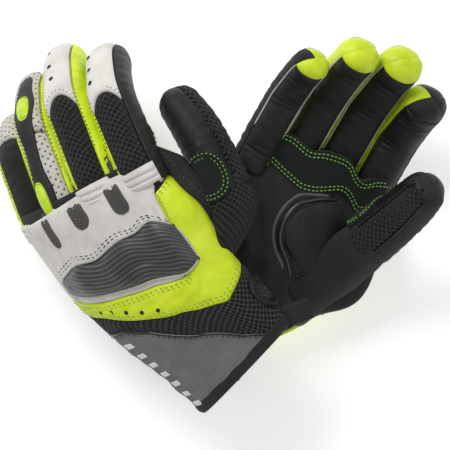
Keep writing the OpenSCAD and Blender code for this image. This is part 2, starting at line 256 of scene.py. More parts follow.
def thumb(g):
    lean = rz(-THUMB_OUT[g]) @ rx(-THUMB_DROP[g]) @ ry(-THUMB_ROLL[g])
    total = THUMB_PROX + THUMB_LONG

    def radius(q):
        return np.interp(q, [-40, -26, -10, 0, 20, THUMB_PROX, total - 20, total - 11, total], [17, 16.5, 15.5,
            14.2, 13.5, 13.0, 12.0, 11.2, 10.8])
    at = path_tube(g, THUMB_KNUCKLE[g], lean, [(THUMB_PROX, 14, 8), (THUMB_PROX + 14, 8, 6)], total, radius,
        source=[30.0, 10.0, -4.0] if g == 0 else [26.0, 22.0, -6.0])
    at.total = total
    return at


HAND = [hand(0), hand(1)]
FING = [[finger(g, f) for f in range(4)] for g in (0, 1)]
THUMB = [thumb(0), thumb(1)]

# ---------------------------------------------------------------- materials


def new_material(name, colour, rough=0.6, sheen=0.0, coat=0.0, spec=0.5):
    m = bpy.data.materials.new(name)
    m.use_nodes = True
    nt = m.node_tree
    nt.nodes.clear()
    out = nt.nodes.new("ShaderNodeOutputMaterial")
    b = nt.nodes.new("ShaderNodeBsdfPrincipled")
    nt.links.new(b.outputs["BSDF"], out.inputs["Surface"])
    for socket, value in {"Base Color": (*colour, 1), "Roughness": rough, "Sheen Weight": sheen,
            "Sheen Roughness": 0.5, "Coat Weight": coat, "Coat Roughness": 0.3, "Specular IOR Level": spec}.items():
        b.inputs[socket].default_value = value
    return m, nt, b


def mth(nt, op, a, b=None):
    n = nt.nodes.new("ShaderNodeMath")
    n.operation = op
    for i, v in enumerate((a, b)):
        if v is None:
            continue
        if hasattr(v, "is_output"):
            nt.links.new(v, n.inputs[i])
        else:
            n.inputs[i].default_value = v
    return n.outputs[0]


def plus(nt, a, b):
    return mth(nt, "ADD", a, b)


def times(nt, a, b):
    return mth(nt, "MULTIPLY", a, b)


def coords(nt, use="Object"):
    return nt.nodes.new("ShaderNodeTexCoord").outputs[use]


def noise(nt, vec, scale, detail=4.0, rough=0.6):
    n = nt.nodes.new("ShaderNodeTexNoise")
    for socket, value in {"Scale": scale, "Detail": detail, "Roughness": rough}.items():
        n.inputs[socket].default_value = value
    nt.links.new(vec, n.inputs["Vector"])
    return n.outputs["Fac"]


def ramp(nt, fac, stops):
    r = nt.nodes.new("ShaderNodeValToRGB")
    el = r.color_ramp.elements
    while len(el) < len(stops):
        el.new(0.5)
    for e, (p, c) in zip(el, stops):
        e.position = p
        e.color = (*c, 1) if len(c) == 3 else c
    nt.links.new(fac, r.inputs["Fac"])
    return r.outputs["Color"]


def tint(nt, b, fac, stops):
    nt.links.new(ramp(nt, fac, stops), b.inputs["Base Color"])


def bump(nt, b, height, strength, distance):
    n = nt.nodes.new("ShaderNodeBump")
    n.inputs["Strength"].default_value = strength
    n.inputs["Distance"].default_value = distance
    nt.links.new(height, n.inputs["Height"])
    nt.links.new(n.outputs["Normal"], b.inputs["Normal"])


def mul(c, k):
    return tuple(min(1.0, v * k) for v in c)


def leather(name, colour, rough=0.55, grain=1.0, wear=None, coat=0.0):
    """Grained leather: fine cells, soft creases, lighter or darker where it is rubbed."""
    m, nt, b = new_material(name, colour, rough, coat=coat, spec=0.5 if sum(colour) > 0.2 else 0.36)
    v = coords(nt)
    cells = nt.nodes.new("ShaderNodeTexVoronoi")
    cells.feature = "DISTANCE_TO_EDGE"
    cells.inputs["Scale"].default_value = 1300
    nt.links.new(v, cells.inputs["Vector"])
    fine = noise(nt, v, 900, 3)
    broad = noise(nt, v, 60, 5, 0.65)
    tint(nt, b, broad, [(0.30, mul(colour, 0.80)), (0.52, colour), (0.72, wear or mul(colour, 1.10))])
    nt.links.new(plus(nt, times(nt, broad, 0.30), rough - 0.16), b.inputs["Roughness"])
    h = plus(nt, times(nt, mth(nt, "MINIMUM", cells.outputs["Distance"], 0.18), 3.0), plus(nt, times(nt, fine, 0.4),
        times(nt, broad, 2.2)))
    bump(nt, b, h, 0.55 * grain, 0.00022)
    return m


def uv_parts(nt, turn=0.0):
    s = nt.nodes.new("ShaderNodeSeparateXYZ")
    mp = nt.nodes.new("ShaderNodeMapping")
    mp.inputs["Rotation"].default_value[2] = turn
    nt.links.new(coords(nt, "UV"), mp.inputs["Vector"])
    nt.links.new(mp.outputs["Vector"], s.inputs["Vector"])
    return s.outputs[0], s.outputs[1], mp.outputs["Vector"]


def wave(nt, x, per):
    return mth(nt, "SINE", times(nt, x, 2 * math.pi / per))


def air_mesh(name, colour, hole, pitch=2.1, turn=math.pi / 4, size=0.30):
    """Open knit with round holes in staggered rows."""
    m, nt, b = new_material(name, colour, 0.8, sheen=0.05, spec=0.3)
    x, y, vec = uv_parts(nt, turn)
    vo = nt.nodes.new("ShaderNodeTexVoronoi")
    vo.voronoi_dimensions = "2D"
    vo.inputs["Scale"].default_value = 1 / pitch
    vo.inputs["Randomness"].default_value = 0.08
    nt.links.new(vec, vo.inputs["Vector"])
    open_ = vo.outputs["Distance"]
    thread = times(nt, wave(nt, x, 0.35), wave(nt, y, 0.35))
    broad = noise(nt, coords(nt), 90, 3)
    inside = ramp(nt, open_, [(size - 0.06, hole), (size + 0.04, colour)])
    mix = nt.nodes.new("ShaderNodeMix")
    mix.data_type = "RGBA"
    mix.blend_type = "MULTIPLY"
    mix.inputs["Factor"].default_value = 0.7
    nt.links.new(inside, mix.inputs[6])
    nt.links.new(ramp(nt, plus(nt, times(nt, thread, 0.08), broad), [(0.2, (0.55, 0.55, 0.55)), (0.8, (1, 1, 1))]),
        mix.inputs[7])
    nt.links.new(mix.outputs[2], b.inputs["Base Color"])
    h = plus(nt, times(nt, mth(nt, "MINIMUM", open_, size + 0.14), 3.0), times(nt, thread, 0.03))
    bump(nt, b, h, 1.0, 0.0007)
    return m


def twill(name, colour, dark, per=0.9, turn=0.8, strength=0.7):
    """Cloth woven in diagonal ribs, each of short over-and-under floats."""
    m, nt, b = new_material(name, colour, 0.85, sheen=0.08, spec=0.3)
    x, y, vec = uv_parts(nt, turn)
    rib = wave(nt, x, per)
    floats = wave(nt, plus(nt, y, times(nt, x, 0.5)), per * 0.8)
    h = plus(nt, rib, times(nt, floats, 0.45))
    broad = noise(nt, coords(nt), 120, 4)
    f = plus(nt, times(nt, h, 0.22), plus(nt, times(nt, broad, 0.5), 0.25))
    tint(nt, b, f, [(0.2, dark), (0.75, colour)])
    bump(nt, b, h, strength, 0.0003)
    return m


def suede(name, colour):
    m, nt, b = new_material(name, colour, 0.95, sheen=0.12, spec=0.2)
    v = coords(nt)
    nap, patch = noise(nt, v, 1500, 3, 0.7), noise(nt, v, 110, 4, 0.6)
    f = plus(nt, times(nt, nap, 0.45), times(nt, patch, 0.55))
    tint(nt, b, f, [(0.32, mul(colour, 0.55)), (0.55, colour), (0.75, mul(colour, 1.7))])
    bump(nt, b, f, 0.6, 0.0005)
    return m


def carbon(name):
    """A moulded shell with the look of woven carbon: curved light and dark bands of fine threads."""
    m, nt, b = new_material(name, (0.05, 0.052, 0.052), 0.38, coat=0.35)
    x, y, vec = uv_parts(nt)
    bow = plus(nt, y, times(nt, mth(nt, "SINE", times(nt, x, 0.085)), 4.0))
    slant = plus(nt, bow, times(nt, x, -0.30))
    band = wave(nt, slant, 2.5)
    thread = times(nt, wave(nt, plus(nt, x, y), 0.8), wave(nt, mth(nt, "SUBTRACT", x, y), 0.8))
    broad = noise(nt, coords(nt), 45, 2)
    f = plus(nt, times(nt, band, 0.30), plus(nt, times(nt, thread, 0.12), times(nt, broad, 0.9)))
    tint(nt, b, f, [(0.15, (0.016, 0.017, 0.017)), (0.5, (0.045, 0.047, 0.047)), (0.9, (0.12, 0.124, 0.124))])
    bump(nt, b, plus(nt, band, times(nt, thread, 0.3)), 0.35, 0.0004)
    return m


def rubber(name, colour, rough=0.42, fleck=300):
    m, nt, b = new_material(name, colour, rough, coat=0.15)
    v = coords(nt)
    n1, n2 = noise(nt, v, fleck, 4), noise(nt, v, 2200, 2)
    tint(nt, b, n1, [(0.3, mul(colour, 0.82)), (0.7, mul(colour, 1.08))])
    nt.links.new(plus(nt, times(nt, n1, 0.2), rough - 0.1), b.inputs["Roughness"])
    bump(nt, b, plus(nt, n1, times(nt, n2, 0.5)), 0.25, 0.0002)
    return m


def thread_mat(name, colour):
    m, nt, b = new_material(name, colour, 0.55, sheen=0.3)
    v = coords(nt)
    n1 = noise(nt, v, 2500, 2)
    tint(nt, b, n1, [(0.3, mul(colour, 0.6)), (0.7, colour)])
    bump(nt, b, n1, 0.5, 0.0002)
    return m


WHITE = (0.70, 0.67, 0.63)
NEON = (0.64, 0.80, 0.012)
M = {
    "white": leather("leather_offwhite", WHITE, 0.62, 0.55, wear=mul(WHITE, 1.12)),
    "neon": leather("leather_neon", NEON, 0.45, 0.6, wear=(0.74, 0.88, 0.05)),
    "black": leather("leather_black", (0.008, 0.0075, 0.0075), 0.46, 1.3, wear=(0.018, 0.017, 0.016)),
    "suede": suede("suede_charcoal", (0.014, 0.016, 0.0155)),
    "mesh": air_mesh("mesh_black", (0.030, 0.030, 0.030), (0.001, 0.001, 0.001), pitch=2.5, size=0.38),
    "wrist": air_mesh("mesh_wrist", (0.045, 0.045, 0.045), (0.001, 0.001, 0.001), pitch=2.4, size=0.38),
    "perf": air_mesh("leather_white_perforated", mul(WHITE, 0.97), (0.05, 0.05, 0.05), pitch=3.3, size=0.17),
    "twill": twill("twill_grey", (0.27, 0.262, 0.262), (0.105, 0.10, 0.10)),
    "textile": twill("textile_black", (0.028, 0.027, 0.027), (0.009, 0.009, 0.009), per=0.7),
    "ribs": twill("ribbed_grey", (0.15, 0.145, 0.14), (0.06, 0.058, 0.056), per=0.6),
    "tape": twill("tape_black", (0.035, 0.034, 0.034), (0.010, 0.010, 0.010), per=0.6, turn=1.57),
    "lining": twill("lining_black", (0.03, 0.03, 0.03), (0.012, 0.012, 0.012), per=1.2, turn=0.2, strength=0.4),
    "carbon": carbon("shell_woven_look"),
    "insert": rubber("insert_neon", (0.52, 0.76, 0.015)),
    "foam": rubber("foam_black", (0.02, 0.02, 0.02), 0.8),
    "piping": rubber("piping_pale", (0.50, 0.50, 0.47), 0.5),
    "shine": rubber("piping_black", (0.02, 0.02, 0.02), 0.25),
    "green": thread_mat("thread_green", (0.22, 0.62, 0.05)),
    "dark": thread_mat("thread_dark", (0.03, 0.03, 0.03)),
    "lime": thread_mat("thread_lime", (0.42, 0.62, 0.02)),
    "hole": rubber("hole_black", (0.006, 0.006, 0.006), 0.9),
    "pile": suede("loop_pile", (0.02, 0.02, 0.02)),
    "print": rubber("print_white", (0.72, 0.72, 0.70), 0.5),
}

# ---------------------------------------------------------------- mesh building


def make(name, verts, faces, mat, uv=None):
    me = bpy.data.meshes.new(name)
    me.from_pydata([tuple(v) for v in np.asarray(verts)], [], faces)
    me.validate()
    o = bpy.data.objects.new(name, me)
    bpy.context.scene.collection.objects.link(o)
    me.materials.append(M[mat])
    me.polygons.foreach_set("use_smooth", [True] * len(me.polygons))
    if uv is not None:
        layer = me.uv_layers.new(name="UVMap")
        idx = np.zeros(len(me.loops), int)
        me.loops.foreach_get("vertex_index", idx)
        layer.data.foreach_set("uv", np.asarray(uv, float)[idx].ravel())
    me.update()
    return o


def spaced(n, ease=0.55):
    """n places from 0 to 1, closer together near both ends."""
    t = np.linspace(0, 1, n)
    return (1 - ease) * t + ease * (0.5 - 0.5 * np.cos(math.pi * t))


def arc(p, axis):
    d = np.linalg.norm(np.diff(p, axis=axis), axis=-1)
    zero = np.zeros_like(np.take(d, [0], axis))
    return np.concatenate([zero, np.cumsum(d, axis)], axis)


def patch(name, at, A, Q, mat, thick=1.2, puff=0.5, edge=0.9, reach=9.0, base=0.0, bury=1.0, seams=(1, 1, 1, 1),
        ring=False, extra=None, lift=None, cut=None):
    """A padded panel on a surface. A is the angle grid, Q the grid along it; seams says which of its four edges
    (first row, last row, first column, last column) are rolled down to the surface."""
    A, Q = np.broadcast_arrays(np.asarray(A, float), np.asarray(Q, float))
    g = at.g
    flat = at(A, Q, 0.0)
    du, dv = arc(flat, 1), arc(flat, 0)
    d = np.full(A.shape, 1e3)
    if seams[0]:
        d = np.minimum(d, dv)
    if seams[1]:
        d = np.minimum(d, dv[-1:] - dv)
    if not ring:
        if seams[2]:
            d = np.minimum(d, du)
        if seams[3]:
            d = np.minimum(d, du[:, -1:] - du)
    x = np.clip(d / edge, 0, 1)
    h = base + thick * np.sqrt(1 - (1 - x) ** 2) + puff * (1 - (1 - np.clip(d / reach, 0, 1)) ** 2)
    if extra is not None:
        h = h + extra(A, Q, du, dv) * smooth(d / 3)
    under = base - bury
    if lift is not None:
        rise = lift(A, Q)
        h, under = h + rise, under + rise
    top, low = at(A, Q, h), at(A, Q, under)
    if cut is not None:
        i = int(np.argmax(Q.mean(1) >= cut))
        return [panel(name + "_root", g, top[:i + 1], low[:i + 1], du[:i + 1], dv[:i + 1], mat, ring, (0, 1)),
            panel(name, g, top[i:], low[i:], du[i:], dv[i:], mat, ring, (1, 0))]
    return panel(name, g, top, low, du, dv, mat, ring)


def panel(name, g, top, low, du, dv, mat, ring=False, cuts=(0, 0)):
    """A closed padded piece between two grids of points. An end that was cut keeps the surface's own shading."""
    nr, nc = top.shape[:2]
    sheets = np.concatenate([top.reshape(-1, 3), low.reshape(-1, 3)])
    size = nr * nc
    faces = []
    cols = nc if ring else nc - 1
    for i in range(nr - 1):
        for j in range(cols):
            k = (j + 1) % nc
            a, b, c, e = i * nc + j, i * nc + k, (i + 1) * nc + k, (i + 1) * nc + j
            faces.append((a, b, c, e))
            faces.append((size + a, size + e, size + c, size + b))
    extra_i = []
    ends = []
    for row, cut in ((0, cuts[0]), (nr - 1, cuts[1])):
        t0, b0 = row * nc, size + row * nc
        if cut:
            n0 = len(sheets) + len(extra_i)
            extra_i += list(range(t0, t0 + nc)) + list(range(b0, b0 + nc))
            t0, b0 = n0, n0 + nc
        ends.append((t0, b0))
    sheets = np.concatenate([sheets, sheets[extra_i]]) if extra_i else sheets
    for j in range(cols):
        k = (j + 1) % nc
        (t0, b0), (t1, b1) = ends
        faces.append((t0 + j, b0 + j, b0 + k, t0 + k))
        faces.append((t1 + k, b1 + k, b1 + j, t1 + j))
    if not ring:
        for i in range(nr - 1):
            a, b = i * nc, (i + 1) * nc
            faces.append((b, size + b, size + a, a))
            a, b = i * nc + nc - 1, (i + 1) * nc + nc - 1
            faces.append((a, size + a, size + b, b))
    w = world(g, sheets)
    # outward side: compare one cell's normal with the way out of the surface
    i, j = nr // 2, min(nc // 2, nc - 2)
    p0, p1, p2 = w[i * nc + j], w[i * nc + j + 1], w[min(i + 1, nr - 1) * nc + j]
    if i + 1 > nr - 1:
        p2 = p0 * 2 - w[(i - 1) * nc + j]
    if np.dot(np.cross(p1 - p0, p2 - p0), w[i * nc + j] - w[size + i * nc + j]) < 0:
        faces = [tuple(reversed(q)) for q in faces]
    uv = np.stack([du - du[:, -1:] / 2, dv - dv[-1:] / 2], -1).reshape(-1, 2)
    uv = np.concatenate([uv, uv])
    return make(name, w, faces, mat, np.concatenate([uv, uv[extra_i]]) if extra_i else uv)


def strip_between(a0, a1, y0, y1, na, ny, ea=0.55, ey=0.55):
    """Grids for a panel from angle a0 to a1 and from y0(a) to y1(a)."""
    a = a0 + (a1 - a0) * spaced(na, ea)
    v = spaced(ny, ey)[:, None]
    lo = np.array([y0(t) if callable(y0) else y0 for t in a])[None, :]
    hi = np.array([y1(t) if callable(y1) else y1 for t in a])[None, :]
    return np.tile(a, (ny, 1)), lo + (hi - lo) * v


def circle(c, u, v, r, n):
    return [c + r * (math.cos(2 * math.pi * k / n) * u + math.sin(2 * math.pi * k / n) * v) for k in range(n)]


def bands(first, rows, cols, closed=False):
    """Faces between rows of points, each row closed on itself; closed joins the last row to the first too."""
    faces = []
    for i in range(rows if closed else rows - 1):
        a, b = first + i * cols, first + (i + 1) % rows * cols
        faces += [(a + k, a + (k + 1) % cols, b + (k + 1) % cols, b + k) for k in range(cols)]
    return faces


def resample(points, gap):
    points = np.asarray(points, float)
    length = np.concatenate([[0], np.cumsum(np.linalg.norm(np.diff(points, axis=0), axis=1))])
    n = max(2, int(length[-1] / gap) + 1)
    t = np.linspace(0, length[-1], n)
    return np.stack([np.interp(t, length, points[:, k]) for k in range(3)], 1), length[-1]


def tube(name, points, radius, mat, sides=8, gap=0.0012, closed=False):
    """A round cord along points, in metres."""
    p, _ = resample(points, gap)
    if closed:
        p = p[:-1]
    n = len(p)
    t = np.gradient(p, axis=0) if not closed else np.roll(p, -1, 0) - np.roll(p, 1, 0)
    t /= np.linalg.norm(t, axis=1, keepdims=True) + 1e-12
    u = np.cross(t[0], [0.3, 0.2, 1.0])
    u /= np.linalg.norm(u)
    verts = []
    for i in range(n):
        u = u - t[i] * np.dot(u, t[i])
        u /= np.linalg.norm(u)
        v = np.cross(t[i], u)
        r = radius * (1.0 if closed else math.sqrt(max(0.05, 1 - (1 - min(i, n - 1 - i, 2) / 2) ** 2)))
        verts += circle(p[i], u, v, r, sides)
    faces = bands(0, n, sides, closed)
    if not closed:
        faces.append(tuple(reversed(range(sides))))
        faces.append(tuple((n - 1) * sides + k for k in range(sides)))
    return make(name, verts, faces, mat)


def stitches(name, rows, mat, long=1.9, gap=0.9, thick=0.34):
    """Rows of sewn stitches, each a small tapered cord lying on the surface. rows are lists of points in metres."""
    ring, stations = 6, np.array([-1, -0.72, 0, 0.72, 1.0])
    girth = np.array([0.25, 0.85, 1.0, 0.85, 0.25])
    verts, faces = [], []
    for pts in rows:
        p, total = resample(pts, 0.0002)
        step = (long + gap) / 1000
        n = int(total / step)
        for k in range(n):
            mid = int((k + 0.5) * step / total * (len(p) - 1))
            half = int(long / 2000 / total * (len(p) - 1))
            a, b = p[max(0, mid - half)], p[min(len(p) - 1, mid + half)]
            t = b - a
            length = np.linalg.norm(t)
            if length < 1e-5:
                continue
            t /= length
            u = np.cross(t, [0.13, 0.21, 1.0])
            u /= np.linalg.norm(u)
            v = np.cross(t, u)
            first = len(verts)
            for q, r in zip(stations, girth):
                verts += circle((a + b) / 2 + t * q * length / 2, u, v, thick / 1000 * r, ring)
            faces += bands(first, len(stations), ring)
            faces.append(tuple(first + w for w in reversed(range(ring))))
            faces.append(tuple(first + (len(stations) - 1) * ring + w for w in range(ring)))
    return make(name, verts, faces, mat)


def on(at, a, q, off):
    """Points on a surface, in metres."""
    return world(at.g, at(np.asarray(a, float), np.asarray(q, float), off))


def holes(name, at, places, r, off):
    """Punched holes: a dark dimple with a soft rim at each place."""
    verts, faces = [], []
    for a, q in places:
        c = on(at, a, q, off)
        n = on(at, a, q, off + 1) - c
        n /= np.linalg.norm(n)
        u = on(at, a, q + 0.5, off) - c
        u -= n * np.dot(u, n)
        u /= np.linalg.norm(u)
        v = np.cross(n, u)
        first = len(verts)
        k = 14
        for wide, lift in ((1.15, -0.35), (1.05, 0.14), (0.92, 0.16), (0.80, 0.06), (0.3, 0.04)):
            verts += circle(c + lift * n / 1000, u, v, r * wide / 1000, k)
        faces += bands(first, 5, k)
        faces.append(tuple(first + 4 * k + w for w in range(k)))
    return make(name, verts, faces, "hole")


def creases(period, depth, angle=0.0):
    def fn(A, Q, du, dv):
        return depth * (np.sin(Q * 2 * math.pi / period + np.sin(A * D * 3 + angle) * 1.4) * np.cos(A
            * D * 2.3 + Q * 0.05 + angle) + 0.5 * np.sin(du * 0.42 + dv * 0.31 + angle))
    return fn


def joint_folds(places, depth=0.7, width=3.2):
    """Folds across a finger at its joints."""
    def fn(A, Q, du, dv):
        h = 0 * A
        for q in places:
            for k, amp in ((-1, 0.6), (0, 1.0), (1, 0.6)):
                c = q + k * width * 1.35 + 0.9 * np.sin(A * D * 2.2 + k + q)
                h = h - depth * amp * np.exp(-((Q - c) / (width * 0.42)) ** 2)
        return h + 0.12 * np.sin(Q * 0.9 + A * D * 4)
    return fn


def bend_between(o, g, at, q0, q1):
    """Bakes a piece's place into its mesh; the points at q0 and q1 on a finger's middle line are found but not used,
    so the piece is not bent.
    """
    p0 = np.array([np.interp(q0, at.s, at.line[:, k]) for k in range(3)])
    p1 = np.array([np.interp(q1, at.s, at.line[:, k]) for k in range(3)])
    tuple(world(g, p0))
    tuple(world(g, p1))
    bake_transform(o)
    return o


def settle(o, body, node=None):
    """Fixes a padded piece to a body, in place of a CAD node if one is named."""
    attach(o, body)
    if node:
        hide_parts(node)


# ---------------------------------------------------------------- fingers
for g, G in enumerate(GLOVES):
    for f, F in enumerate(FINGERS):
        at = FING[g][f]
        h, total, L1, L2 = HALF[f], at.total, PROX[f], MID[f]
        base, tip, hand_body = f"{G}_{F}_base", f"{G}_{F}_tip", f"{G}_hand"
        n = f"{G}_{F}"

        def skin(name, a0, a1, q0, q1, mat, na=20, nq=46, **kw):
            A, Q = strip_between(a0, a1, q0, q1, na, nq, 0.5, 0.35)
            return patch(name, at, A, Q, mat, **kw)

        def at_middle(o):
            bend_between(o, g, at, L1 - BEND, L1 + BEND)

        # root sleeve, under the other pieces
        sleeve = patch(n + "_root", at, np.tile(np.arange(0, 360, 9), (22, 1)), np.linspace(-20, 16, 22)[:, None],
            "textile", thick=0.2, puff=0.0, ring=True, base=-1.9, bury=0.6)
        bend_between(sleeve, g, at, -BEND, BEND)

        def two_joints(pair):
            bend_between(pair[0], g, at, -BEND, BEND)
            at_middle(pair[1])
            return pair
        end = total + 0.5 * h
        # palm side leather
        palm = two_joints(skin(n + "_palm", 211, 329, -14, total - 0.62 * h, "black", 22, 76, thick=1.0, puff=1.2,
            reach=8, base=-1.0, extra=joint_folds([0, L1, L1 + L2], 0.9), cut=CUT))
        # side walls
        for side, (a0, a1) in (("thumb", (-32, 45)), ("pinky", (135, 212))):
            mat = "black" if (f == 0 and side == "thumb") else ("textile"
                if f == 3 and side == "pinky" and g else "neon")
            two_joints(skin(f"{n}_wall_{side}", a0, a1, -12, end, mat, 20, 84, thick=1.0, puff=0.8, reach=7,
                base=-1.0, seams=(0, 0, 1, 1), extra=joint_folds([0, L1], 0.5), cut=CUT))
        # back panel
        back_mat = {0: "mesh", 1: "mesh", 2: "perf", 3: "textile"}[f]
        q_end, bow = [(33, 6.5), (39, 7), (36, 2), (42, 1.5)][f]

        def top_of(a):
            return q_end + bow * (1 - (min(abs(a - 90), 45) / 45) ** 2)
        A, Q = strip_between(46, 134, -2.4, top_of, 26, 70, 0.4, 0.2)
        two_joints(patch(n + "_back", at, A, Q, back_mat, thick=0.9, puff=1.1 if f < 2 else 0.5, reach=8, base=-0.9,
            extra=joint_folds([L1], 0.3, 4.0), cut=CUT))
        # tip cap, white, over the end of the finger
        A, Q = strip_between(46, 134, lambda a: top_of(a) + 0.5, total + (0.18, -0.30)[g] * h, 34, 56, 0.35, 0.3)
        cap = patch(n + "_tip_cap", at, A, Q, "white" if f < 2 else "perf", thick=1.1, puff=0.9, reach=7, base=-0.8,
            extra=creases(17, 0.2, f))
        at_middle(cap)
        # end of the finger and its pad
        A, Q = np.tile(np.arange(0, 360, 8), (14, 1)), np.linspace(total + (0.02, -0.42)[g] * h, total + 0.565 * h,
            14)[:, None]
        endcap = patch(n + "_end", at, A, Q, "black" if f == 0 else "neon", thick=0.5, puff=0.0, base=-0.5,
            seams=(1, 0, 0, 0), ring=True)
        settle(endcap, tip)
        A, Q = strip_between(206, 334, total - 0.66 * h, total + 0.5 * h, 34, 24, 0.35, 0.3)
        pulp = patch(n + "_pad", at, A, Q, "black" if f == 0 else "neon", thick=1.0, puff=0.6, reach=6, base=-0.9,
            seams=(1, 0, 1, 1), extra=creases(9, 0.15, f + 2))
        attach(pulp, tip)
        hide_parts(n + "_distal")
        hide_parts(n + "_proximal")
        # pale edge lines beside the palm leather
        for k, a in (("a", 210), ("b", 330)):
            q = np.linspace(13, total - 0.6 * h, 60)
            line = tube(f"{n}_edge_line_{k}", on(at, 0 * q + a, q, 0.1), 0.0005, "piping" if f else "shine", 6)
            at_middle(line)
        # seams of the back panel and the cap
        a = np.linspace(49, 131, 60)
        rows = [on(at, a, np.array([top_of(t) for t in a]) + k, 0.75) for k in (2.2, 4.0)]
        for a_ in (43.2, 136.8):
            q = np.linspace(13, total - 0.3 * h, 110)
            rows.append(on(at, 0 * q + a_, q, 0.25))
        st = stitches(n + "_back_stitch", rows, "dark", 1.6, 0.9, 0.26)
        at_middle(st)
        if f < 2:
            three = [(108, 46.5), (109, 57.5), (112, 68.5)] if f == 0 else [(95, 56.5), (99, 68), (105, 80)]
            hl = holes(n + "_tip_holes", at, three, 1.3, 1.35)
            at_middle(hl)
        # knuckle accordion: padded pleats across the knuckle
        A, Q = strip_between(38, 142, -12.0, -2.2, 26, 50, 0.4, 0.0)
        acc = patch(n + "_knuckle_ribs", at, A, Q, "white", thick=0.7, puff=0.2, base=0.2 if f == 0 else 1.3,
            reach=4, bury=3.5, extra=lambda A, Q, du, dv: 1.0 * np.abs(np.sin((Q + 12 + 0.5 * np.sin(A
            * D * 2)) / 9.8 * math.pi * 3)) ** 0.7 - 0.3)
        bend_between(acc, g, at, -9, 9)
        if f == 3:
            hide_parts(f"{G}_knuckle_stretch")

    # ring slider and its two inserts
    at = FING[g][2]
    L1 = PROX[2]
    rows_n, cols_n = 90, 18
    v = spaced(rows_n, 0.4)[:, None]
    Q = -14 + 90 * v + np.zeros((1, cols_n))
    centre = np.interp(Q, [-14, 2, 52, 76], [124, 114, 93, 82])
    wide = 17 + 13 * hill(Q, 2, 11) + 13 * hill(Q, 52, 11)
    wide = wide * np.sqrt(np.clip(1 - (1 - np.clip(np.minimum(Q + 14.5, 76.5 - Q) / 8, 0, 1)) ** 2, 0.02, 1))
    A = centre + wide * (2 * spaced(cols_n, 0.4)[None, :] - 1)
    pair = patch(f"{G}_ring_slider_pad", at, A, Q, "black", thick=1.1, puff=0.5, base=0.5, reach=5, bury=1.2,
        extra=creases(8, 0.12), cut=CUT)
    bend_between(pair[0], g, at, -BEND, BEND)
    bend_between(pair[1], g, at, L1 - BEND, L1 + BEND)
    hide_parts(f"{G}_ring_slider")
    k = int(np.argmax(Q[:, 0] >= 13))
    rows = [on(at, A[k:-3, 2], Q[k:-3, 2], 1.95), on(at, A[k:-3, -3], Q[k:-3, -3], 1.95)]
    st = stitches(f"{G}_ring_slider_stitch", rows, "dark", 1.6, 0.9, 0.25)
    bend_between(st, g, at, L1 - BEND, L1 + BEND)

    def oval(name, q0, q1, a0, a1, lift, body, node):
        t = np.linspace(0, 2 * math.pi, 40, endpoint=False)
        rr = np.array([0.0, 0.35, 0.65, 0.80, 0.88, 0.94, 1.0, 1.0])
        hh = np.array([1.7, 1.65, 1.35, 0.9, 0.25, 0.75, 0.5, -1.6])
        am, ah, qm, qh = (a0 + a1) / 2, (a1 - a0) / 2, (q0 + q1) / 2, (q1 - q0) / 2
        verts = []
        c, s = np.cos(t), np.sin(t)
        for r, hgt in zip(rr[1:], hh[1:]):
            verts.append(on(at, am + ah * r * squared(c, 0.85), qm + qh * r * squared(s, 0.85), lift + hgt))
        verts = np.concatenate(verts)
        k = len(t)
        faces = bands(0, len(rr) - 1, k)
        top = len(verts)
        verts = np.concatenate([verts, on(at, [am], [qm], lift + hh[0])])
        faces += [(top, (j + 1) % k, j) for j in range(k)]
        faces.append(tuple((len(rr) - 2) * k + j for j in range(k)))
        o = make(name, verts, faces, "insert")
        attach(o, body)
        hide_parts(node)
        return o
    oval(f"{G}_insert_knuckle", -7, 11, 98, 130, 1.7, f"{G}_ring_base", f"{G}_slider_insert_lower")
    oval(f"{G}_insert_middle", 44, 60, 78, 108, 1.7, f"{G}_ring_tip", f"{G}_slider_insert_upper")

    # webs between the fingers, ribbed on the back and leather in the palm
    for f in range(3):
        A0, A1 = FING[g][f], FING[g][f + 1]
        for side, aa, ab, mat, name, q0, q1 in (("back", 148, 32, "ribs", f"{G}_web_{FINGERS[f]}", -14, 14),
                ("palm", 212, -32, "black", f"{G}_crotch_{FINGERS[f]}", -10, 15)):
            nu, nv = 15, 34
            u, v = np.linspace(0, 1, nu)[None, :], np.linspace(0, 1, nv)[:, None]
            q = q0 + (q1 - q0) * v
            pa = A0(aa, q, 0.4 + 0 * q)
            pb = A1(ab, q, 0.4 + 0 * q)
            u3 = u[..., None]
            mid = pa * (1 - u3) + pb * u3
            down = (1 if side == "back" else -1)
            sag = -down * 4 * u * (1 - u) * (0.6 + 3.2 * v)
            rib = 0.55 * np.sin((v * 28 + u * 7) * 2.0) if side == "back" else 0.2 * np.sin(v * 20)
            mid[..., 2] += sag + rib * np.minimum(1, 6 * u * (1 - u) + 0.2) * down
            low = mid.copy()
            low[..., 2] -= 1.4 * down
            du, dv = arc(mid, 1), arc(mid, 0)
            o = panel(name, g, mid, low, du + du[:, -1:], dv + dv[-1:], mat)
            settle(o, f"{G}_hand")
            if side == "back" and f == 0:
                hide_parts(f"{G}_finger_gussets")

